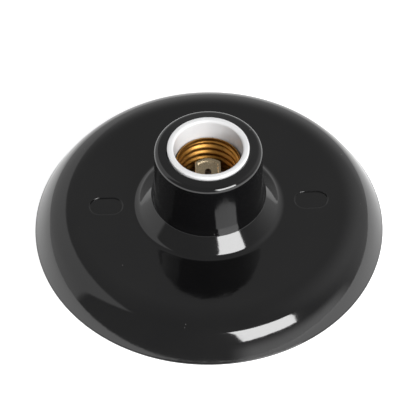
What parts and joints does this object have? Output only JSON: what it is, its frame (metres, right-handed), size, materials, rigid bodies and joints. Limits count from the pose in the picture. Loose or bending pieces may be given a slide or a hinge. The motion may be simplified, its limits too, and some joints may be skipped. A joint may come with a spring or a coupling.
{
  "type": "ceiling lamp holder",
  "caption": "Round domed plate with a central neck, porcelain collar, brass screw shell and sprung centre contact for a lamp cap.",
  "frame": {"origin": "centre of the plate's rim, on the plane that the open rim stands on", "axes": "+Z along the socket axis, out of the lamp opening; +X and -X towards the two knock-outs; -Y is the front, where the root of the contact leaf lies"},
  "size_m": [0.152, 0.152, 0.0507],
  "materials": {
    "phenolic": "moulded gloss black",
    "porcelain": "white glaze",
    "shell_brass": "rolled sheet, satin",
    "contact_metal": "pale spring bronze, satin",
    "rivet_brass": "clinched, satin",
    "terminal_brass": "stamped, satin",
    "zinc_steel": "bright zinc",
    "bridge_steel": "pressed sheet, zinc plated"
  },
  "bodies": {
    "holder": {"cover": "phenolic", "porcelain_insert": "porcelain", "screw_shell": "shell_brass", "centre_contact_rivet": "rivet_brass", "shell_rivet_left": "rivet_brass", "shell_rivet_right": "rivet_brass", "line_terminal": "terminal_brass", "neutral_terminal": "terminal_brass", "line_terminal_screw": "terminal_brass", "neutral_terminal_screw": "zinc_steel", "retaining_bridge": "bridge_steel", "bridge_screw_front": "zinc_steel", "bridge_screw_back": "zinc_steel"},
    "contact_leaf": {"centre_contact_leaf": "contact_metal"}
  },
  "joints": [
    {"name": "contact_flex", "type": "hinge", "parent": "holder", "child": "contact_leaf", "pos_m": [0, -0.0059, 0.0213], "axis": [1, 0, 0], "range_deg": [-6, 0], "stiffness_Nm_per_rad": 0.5}
  ]
}
